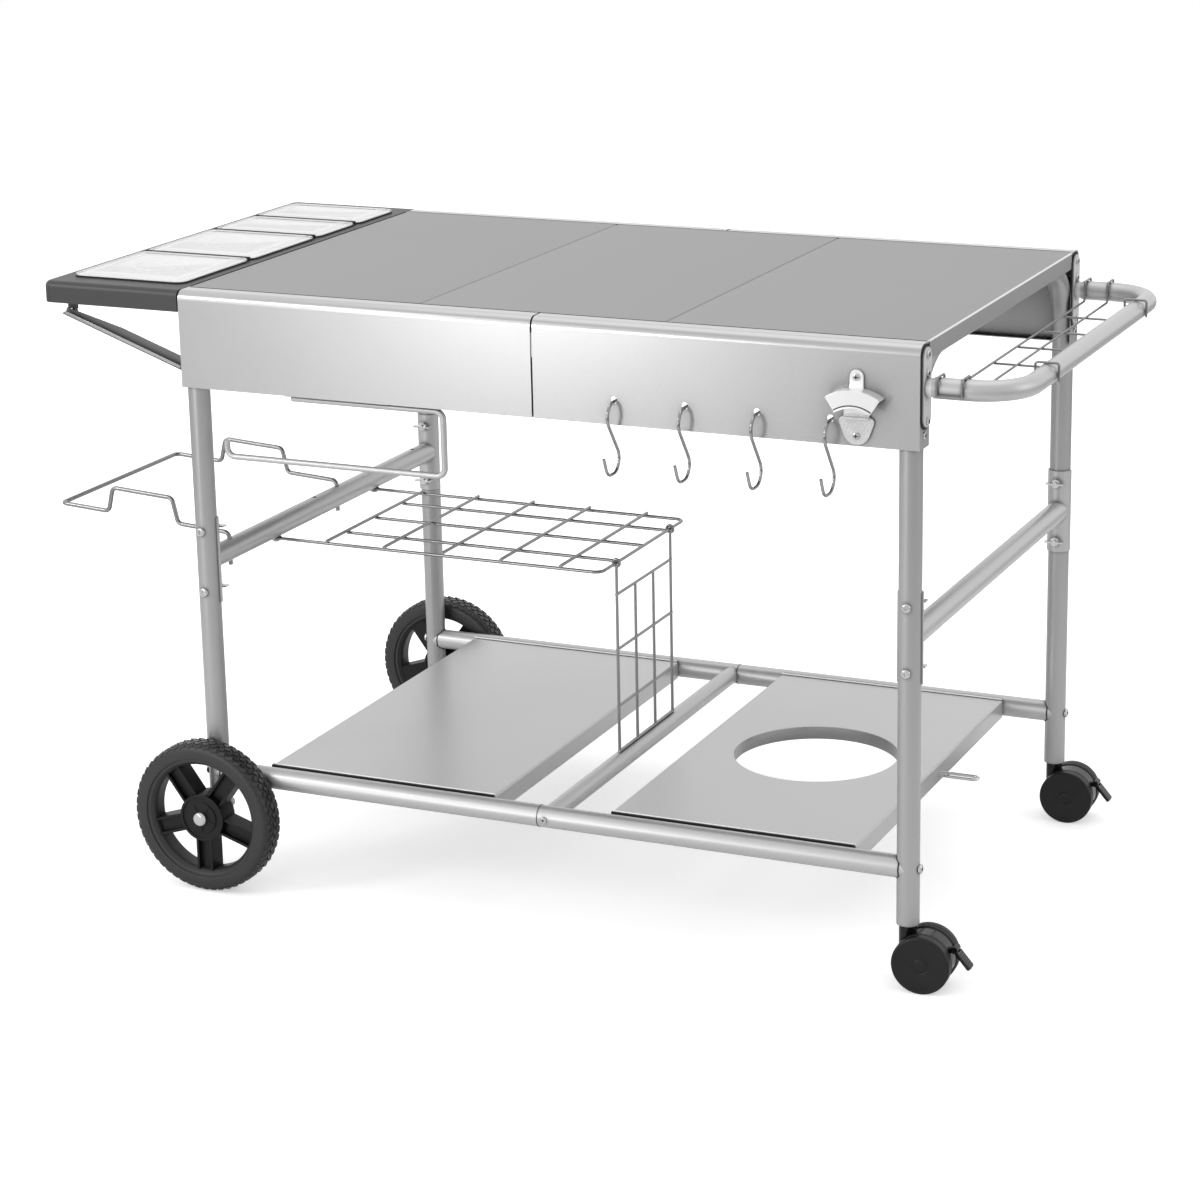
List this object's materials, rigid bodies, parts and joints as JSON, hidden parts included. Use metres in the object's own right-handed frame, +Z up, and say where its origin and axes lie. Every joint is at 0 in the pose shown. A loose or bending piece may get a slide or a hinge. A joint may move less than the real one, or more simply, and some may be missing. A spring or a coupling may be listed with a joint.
{
  "type": "grill cart",
  "caption": "Wheeled tube-frame grill cart with sheet worktop, drop side shelf for lidded trays, lower shelves with a gas bottle hole, wire racks, hooks and push handle.",
  "frame": {"origin": "on the floor under the middle of the whole cart's box", "axes": "+X along the cart towards the push handle, +Y to the rear, +Z up"},
  "size_m": [1.3784, 0.7502, 0.8117],
  "materials": {
    "silver_paint": "satin silver-grey powder coat",
    "worktop_steel": "fine-grained satin sheet",
    "shelf_steel": "satin sheet",
    "dark_paint": "satin dark grey paint",
    "black_plastic": "matt black moulding",
    "grey_plastic": "light grey moulding",
    "tray_plastic": "smooth white moulding",
    "clear_plastic": "clear moulding",
    "plated_wire": "bright zinc plating"
  },
  "bodies": {
    "cart": {"left_end_frame": "silver_paint", "right_end_frame": "silver_paint", "lower_leg_front_left": "silver_paint", "lower_leg_rear_left": "silver_paint", "lower_leg_front_right": "silver_paint", "lower_leg_rear_right": "silver_paint", "left_cross_rail": "silver_paint", "right_cross_rail": "silver_paint", "front_rail_left": "silver_paint", "front_rail_right": "silver_paint", "rear_rail_left": "silver_paint", "rear_rail_right": "silver_paint", "crossbar": "silver_paint", "front_apron_left": "silver_paint", "front_apron_right": "silver_paint", "rear_apron_left": "silver_paint", "rear_apron_right": "silver_paint", "top_panel_left": "worktop_steel", "top_panel_middle": "worktop_steel", "top_panel_right": "worktop_steel", "lower_shelf_left": "shelf_steel", "lower_shelf_right": "shelf_steel", "push_handle": "silver_paint", "handle_brackets": "silver_paint", "side_shelf_hinges": "silver_paint", "wire_shelf": "plated_wire", "towel_rod": "silver_paint", "bottle_opener": "silver_paint", "wheel_axles": "plated_wire", "caster_plugs": "grey_plastic", "saddle_bolts": "plated_wire", "wing_nuts": "plated_wire", "frame_screws": "plated_wire"},
    "wheel_front": {"wheel_front": "black_plastic"},
    "wheel_rear": {"wheel_rear": "black_plastic"},
    "caster_housing_front": {"caster_housing_front": "black_plastic"},
    "caster_wheels_front": {"caster_wheels_front": "black_plastic"},
    "caster_brake_front": {"caster_brake_front": "black_plastic"},
    "caster_housing_rear": {"caster_housing_rear": "black_plastic"},
    "caster_wheels_rear": {"caster_wheels_rear": "black_plastic"},
    "caster_brake_rear": {"caster_brake_rear": "black_plastic"},
    "side_shelf": {"side_shelf": "dark_paint"},
    "strut_front": {"strut_front": "silver_paint"},
    "strut_rear": {"strut_rear": "silver_paint"},
    "tray_1": {"tray_1": "tray_plastic"},
    "tray_2": {"tray_2": "tray_plastic"},
    "tray_3": {"tray_3": "tray_plastic"},
    "tray_4": {"tray_4": "tray_plastic"},
    "tray_lid_1": {"tray_lid_1": "clear_plastic"},
    "tray_lid_2": {"tray_lid_2": "clear_plastic"},
    "tray_lid_3": {"tray_lid_3": "clear_plastic"},
    "tray_lid_4": {"tray_lid_4": "clear_plastic"},
    "s_hook_1": {"s_hook_1": "plated_wire"},
    "s_hook_2": {"s_hook_2": "plated_wire"},
    "s_hook_3": {"s_hook_3": "plated_wire"},
    "s_hook_4": {"s_hook_4": "plated_wire"},
    "hanging_grid": {"hanging_grid": "plated_wire"},
    "bag_holder": {"bag_holder": "plated_wire"},
    "handle_rack": {"handle_rack": "plated_wire"},
    "tank_screw": {"tank_screw": "plated_wire"}
  },
  "joints": [
    {"name": "wheel_front_spin", "type": "hinge", "parent": "cart", "child": "wheel_front", "pos_m": [-0.42625, -0.35, 0.103], "axis": [0, 1, 0], "continuous": true},
    {"name": "wheel_rear_spin", "type": "hinge", "parent": "cart", "child": "wheel_rear", "pos_m": [-0.42625, 0.35, 0.103], "axis": [0, 1, 0], "continuous": true},
    {"name": "caster_front_swivel", "type": "hinge", "parent": "cart", "child": "caster_housing_front", "pos_m": [0.54375, -0.315, 0.078], "axis": [0, 0, 1], "continuous": true},
    {"name": "caster_front_spin", "type": "hinge", "parent": "caster_housing_front", "child": "caster_wheels_front", "pos_m": [0.56672, -0.3138, 0.037], "axis": [-0.0523, 0.9986, 0], "continuous": true},
    {"name": "caster_front_brake", "type": "hinge", "parent": "caster_housing_front", "child": "caster_brake_front", "pos_m": [0.60428, -0.31183, 0.05454], "axis": [-0.0523, 0.9986, 0], "range_deg": [0, 20]},
    {"name": "caster_rear_swivel", "type": "hinge", "parent": "cart", "child": "caster_housing_rear", "pos_m": [0.54375, 0.315, 0.078], "axis": [0, 0, 1], "continuous": true},
    {"name": "caster_rear_spin", "type": "hinge", "parent": "caster_housing_rear", "child": "caster_wheels_rear", "pos_m": [0.56672, 0.3162, 0.037], "axis": [-0.0523, 0.9986, 0], "continuous": true},
    {"name": "caster_rear_brake", "type": "hinge", "parent": "caster_housing_rear", "child": "caster_brake_rear", "pos_m": [0.60428, 0.31817, 0.05454], "axis": [-0.0523, 0.9986, 0], "range_deg": [0, 20]},
    {"name": "side_shelf_fold", "type": "hinge", "parent": "cart", "child": "side_shelf", "pos_m": [-0.45125, 0, 0.767], "axis": [0, -1, 0], "range_deg": [0, 90]},
    {"name": "strut_front_fold", "type": "hinge", "parent": "cart", "child": "strut_front", "pos_m": [-0.45125, -0.3, 0.7025], "axis": [0, -1, 0], "range_deg": [0, 109.5]},
    {"name": "strut_rear_fold", "type": "hinge", "parent": "cart", "child": "strut_rear", "pos_m": [-0.45125, 0.3, 0.7025], "axis": [0, -1, 0], "range_deg": [0, 109.5]},
    {"name": "tray_1_lift", "type": "slide", "parent": "side_shelf", "child": "tray_1", "axis": [0, 0, 1], "range_m": [0, 0.06]},
    {"name": "tray_lid_1_lift", "type": "slide", "parent": "tray_1", "child": "tray_lid_1", "axis": [0, 0, 1], "range_m": [0, 0.06]},
    {"name": "tray_2_lift", "type": "slide", "parent": "side_shelf", "child": "tray_2", "axis": [0, 0, 1], "range_m": [0, 0.06]},
    {"name": "tray_lid_2_lift", "type": "slide", "parent": "tray_2", "child": "tray_lid_2", "axis": [0, 0, 1], "range_m": [0, 0.06]},
    {"name": "tray_3_lift", "type": "slide", "parent": "side_shelf", "child": "tray_3", "axis": [0, 0, 1], "range_m": [0, 0.06]},
    {"name": "tray_lid_3_lift", "type": "slide", "parent": "tray_3", "child": "tray_lid_3", "axis": [0, 0, 1], "range_m": [0, 0.06]},
    {"name": "tray_4_lift", "type": "slide", "parent": "side_shelf", "child": "tray_4", "axis": [0, 0, 1], "range_m": [0, 0.06]},
    {"name": "tray_lid_4_lift", "type": "slide", "parent": "tray_4", "child": "tray_lid_4", "axis": [0, 0, 1], "range_m": [0, 0.06]},
    {"name": "s_hook_1_swing", "type": "hinge", "parent": "cart", "child": "s_hook_1", "pos_m": [0.16835, -0.3305, 0.7088], "axis": [0, 1, 0], "range_deg": [-20, 20]},
    {"name": "s_hook_2_swing", "type": "hinge", "parent": "cart", "child": "s_hook_2", "pos_m": [0.26165, -0.3305, 0.7088], "axis": [0, 1, 0], "range_deg": [-20, 20]},
    {"name": "s_hook_3_swing", "type": "hinge", "parent": "cart", "child": "s_hook_3", "pos_m": [0.35495, -0.3305, 0.7088], "axis": [0, 1, 0], "range_deg": [-20, 20]},
    {"name": "s_hook_4_swing", "type": "hinge", "parent": "cart", "child": "s_hook_4", "pos_m": [0.44825, -0.3305, 0.7088], "axis": [0, 1, 0], "range_deg": [-20, 20]},
    {"name": "grid_swing", "type": "hinge", "parent": "cart", "child": "hanging_grid", "pos_m": [0.05875, 0, 0.4295], "axis": [0, 1, 0], "range_deg": [-70, 70]},
    {"name": "bag_holder_lift", "type": "slide", "parent": "cart", "child": "bag_holder", "axis": [0, 0, 1], "range_m": [0, 0.06]},
    {"name": "handle_rack_lift", "type": "slide", "parent": "cart", "child": "handle_rack", "axis": [0, 0, 1], "range_m": [0, 0.05]},
    {"name": "tank_screw_travel", "type": "slide", "parent": "cart", "child": "tank_screw", "axis": [-1, 0, 0], "range_m": [-0.02, 0.007]}
  ],
  "couplings": [
    {"joint": "strut_front_fold", "follows": "side_shelf_fold", "ratio": 1.2167},
    {"joint": "strut_rear_fold", "follows": "side_shelf_fold", "ratio": 1.2167}
  ]
}
